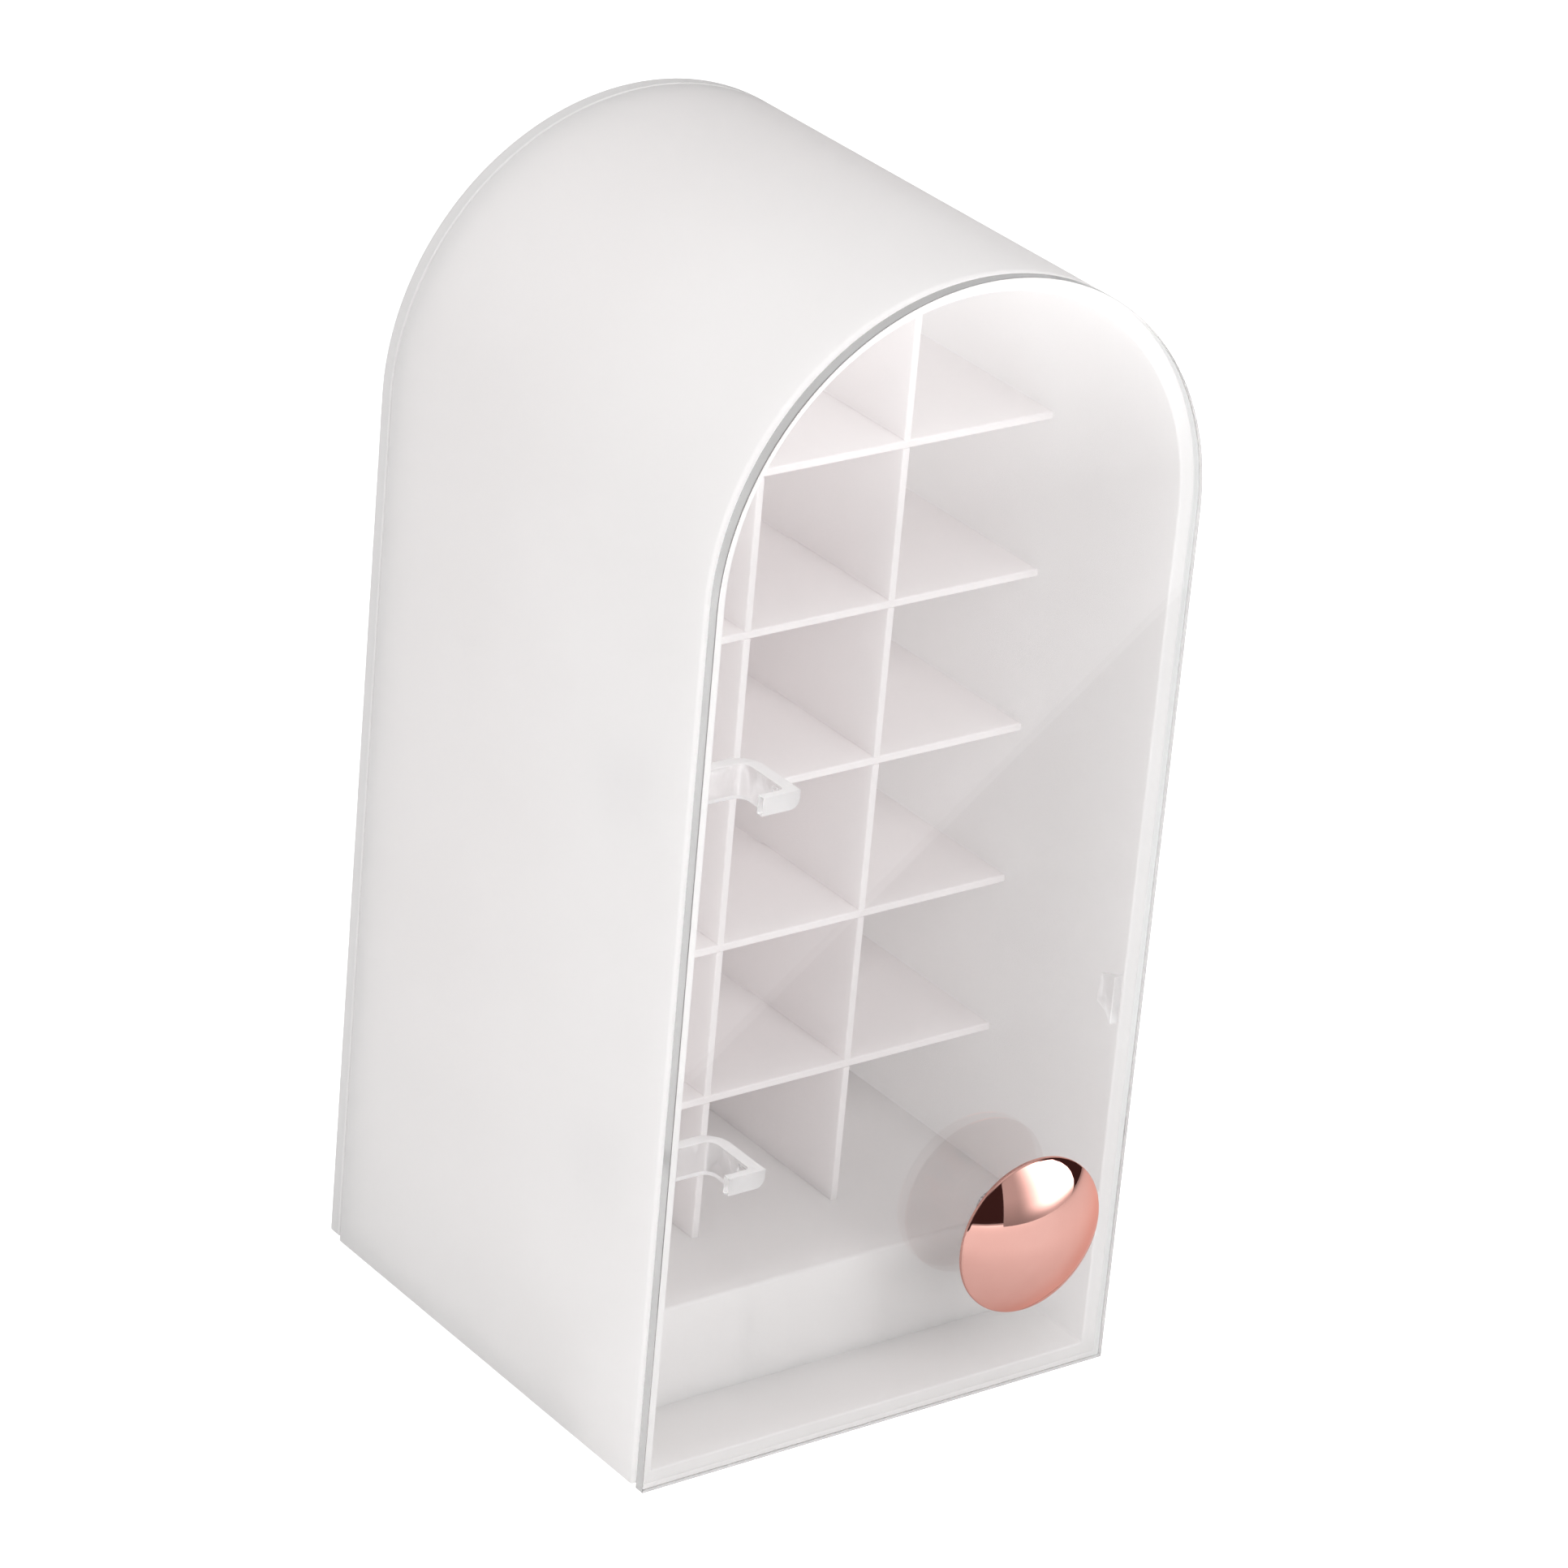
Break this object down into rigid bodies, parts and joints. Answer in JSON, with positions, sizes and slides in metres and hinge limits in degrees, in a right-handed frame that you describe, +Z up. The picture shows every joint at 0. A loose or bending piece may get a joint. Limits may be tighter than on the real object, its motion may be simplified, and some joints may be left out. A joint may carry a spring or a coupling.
{
  "type": "lipstick organizer",
  "caption": "White arch-topped cabinet with a grid of open cells for lipsticks behind one clear hinged door with a round mirror-finish knob.",
  "frame": {"origin": "on the table, under the middle of the width and of the whole depth, knob included", "axes": "+X to the right as seen from the front, +Y from the door to the back panel, +Z up"},
  "size_m": [0.11, 0.1264, 0.2378],
  "materials": {
    "white_casing": "satin",
    "white_grid": "satin",
    "clear_door": "polished",
    "clear_fitting": "gloss",
    "clear_rubber": "satin",
    "rose_gold": "polished",
    "steel": "satin"
  },
  "bodies": {
    "cabinet": {"casing": "white_casing", "back_panel": "white_casing", "raised_base": "white_casing", "divider_left": "white_grid", "divider_right": "white_grid", "shelf_1": "white_grid", "shelf_2": "white_grid", "shelf_3": "white_grid", "shelf_4": "white_grid", "shelf_5": "white_grid", "hinge_bracket_lower": "clear_fitting", "hinge_bracket_upper": "clear_fitting", "hinge_pin_lower": "steel", "hinge_pin_upper": "steel", "foot_front_left": "clear_rubber", "foot_front_right": "clear_rubber", "foot_back_left": "clear_rubber", "foot_back_right": "clear_rubber"},
    "door": {"door_panel": "clear_door", "hinge_arm_lower": "clear_fitting", "hinge_arm_upper": "clear_fitting", "door_hook": "clear_fitting", "knob": "rose_gold", "knob_washer": "steel", "knob_screw": "steel"}
  },
  "joints": [
    {"name": "door_swing", "type": "hinge", "parent": "cabinet", "child": "door", "pos_m": [-0.0497, -0.03075, 0.1], "axis": [0, 0, -1], "range_deg": [0, 92]}
  ]
}
